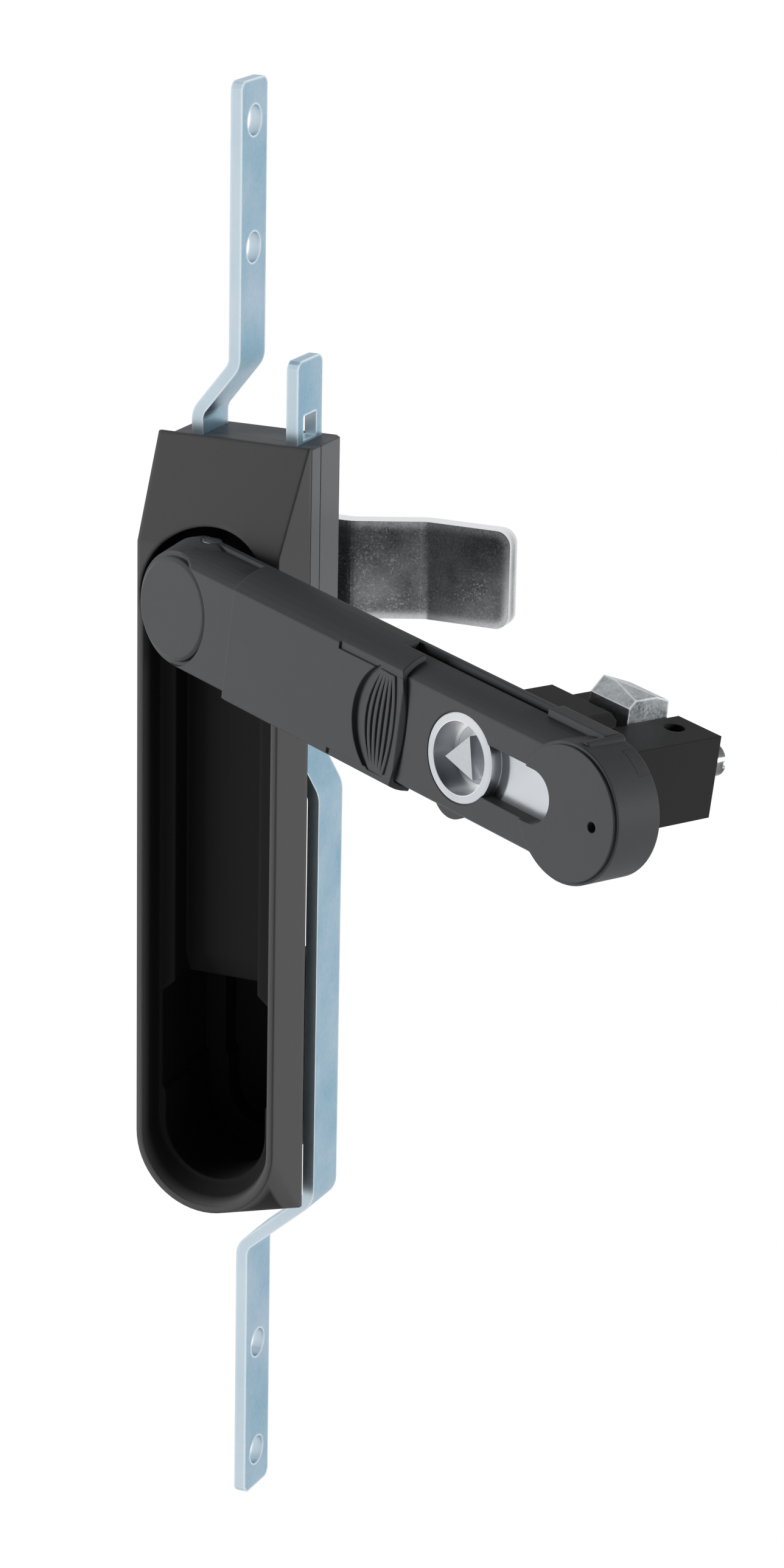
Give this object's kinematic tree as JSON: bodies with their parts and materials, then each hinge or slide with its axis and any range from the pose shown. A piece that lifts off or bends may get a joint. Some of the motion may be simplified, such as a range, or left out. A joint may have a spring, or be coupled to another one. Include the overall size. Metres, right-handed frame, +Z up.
{
  "type": "cabinet handle lock",
  "caption": "Swing handle in a long dish for a cabinet door. It lifts, turns a cam and drives flat rods up and down; a sliding cover hides the key socket.",
  "frame": {"origin": "centre of the dish's flat back face, which lies on the outside of the door", "axes": "+X right seen from the front, +Y into the cabinet, +Z up, along the rods"},
  "size_m": [0.1309, 0.1076, 0.2954],
  "materials": {
    "dish_coat": "matte dark powder coat",
    "box_plastic": "matte dark grey moulding",
    "screw_steel": "zinc plated",
    "spindle_steel": "plain steel",
    "pinion_zinc": "plain zinc casting",
    "cam_steel": "mottled zinc plating",
    "rod_steel": "blue zinc plating",
    "handle_coat": "matte charcoal powder coat",
    "cover_plastic": "matte charcoal moulding",
    "insert_metal": "satin nickel",
    "plug_metal": "bright nickel",
    "bolt_zinc": "bright zinc casting",
    "case_plastic": "matte dark moulding",
    "spring_steel": "spring wire"
  },
  "bodies": {
    "housing": {"dish": "dish_coat", "lock_well": "box_plastic", "gearbox_front": "box_plastic", "gearbox_back": "box_plastic", "gearbox_screws": "screw_steel"},
    "shaft": {"spindle": "spindle_steel", "pinion": "pinion_zinc", "cam_spacer": "spindle_steel", "cam_tongue": "cam_steel", "cam_washer": "screw_steel", "cam_bolt": "screw_steel"},
    "upper_bar": {"upper_rod": "rod_steel"},
    "lower_bar": {"lower_rod": "rod_steel"},
    "lever": {"handle_body": "handle_coat", "cross_pin": "screw_steel", "cylinder_insert": "insert_metal", "lock_case": "case_plastic", "case_screws": "screw_steel", "case_stud": "plug_metal", "latch_spring": "spring_steel"},
    "cover": {"slide_cover": "cover_plastic"},
    "plug": {"key_plug": "plug_metal", "drive_crank": "bolt_zinc"},
    "bolt": {"latch_bolt": "bolt_zinc"}
  },
  "joints": [
    {"name": "spindle_turn", "type": "hinge", "parent": "housing", "child": "shaft", "pos_m": [0, -0.013, 0.04875], "axis": [0, -1, 0], "range_deg": [-83.5, 6.5]},
    {"name": "handle_tilt", "type": "hinge", "parent": "shaft", "child": "lever", "pos_m": [0, -0.013, 0.04875], "axis": [-0.1132, 0, -0.9936], "range_deg": [-24.5, 2.5]},
    {"name": "upper_rod_slide", "type": "slide", "parent": "housing", "child": "upper_bar", "axis": [0, 0, 1], "range_m": [-0.0012, 0.0149]},
    {"name": "lower_rod_slide", "type": "slide", "parent": "housing", "child": "lower_bar", "axis": [0, 0, -1], "range_m": [-0.0012, 0.0149]},
    {"name": "cover_slide", "type": "slide", "parent": "lever", "child": "cover", "axis": [0.9041, -0.4147, -0.103], "range_m": [0, 0.0287]},
    {"name": "key_turn", "type": "hinge", "parent": "lever", "child": "plug", "pos_m": [0.07658, -0.04812, 0.04002], "axis": [0.412, 0.91, -0.0469], "range_deg": [0, 80]},
    {"name": "bolt_slide", "type": "slide", "parent": "lever", "child": "bolt", "axis": [-0.1132, 0, -0.9936], "range_m": [0, 0.00437], "deforming": ["latch_spring"]}
  ],
  "couplings": [
    {"joint": "upper_rod_slide", "follows": "spindle_turn", "m_per_rad": -0.0102},
    {"joint": "lower_rod_slide", "follows": "spindle_turn", "m_per_rad": -0.0102},
    {"joint": "key_turn", "follows": "bolt_slide", "rad_per_m": 319.44}
  ]
}
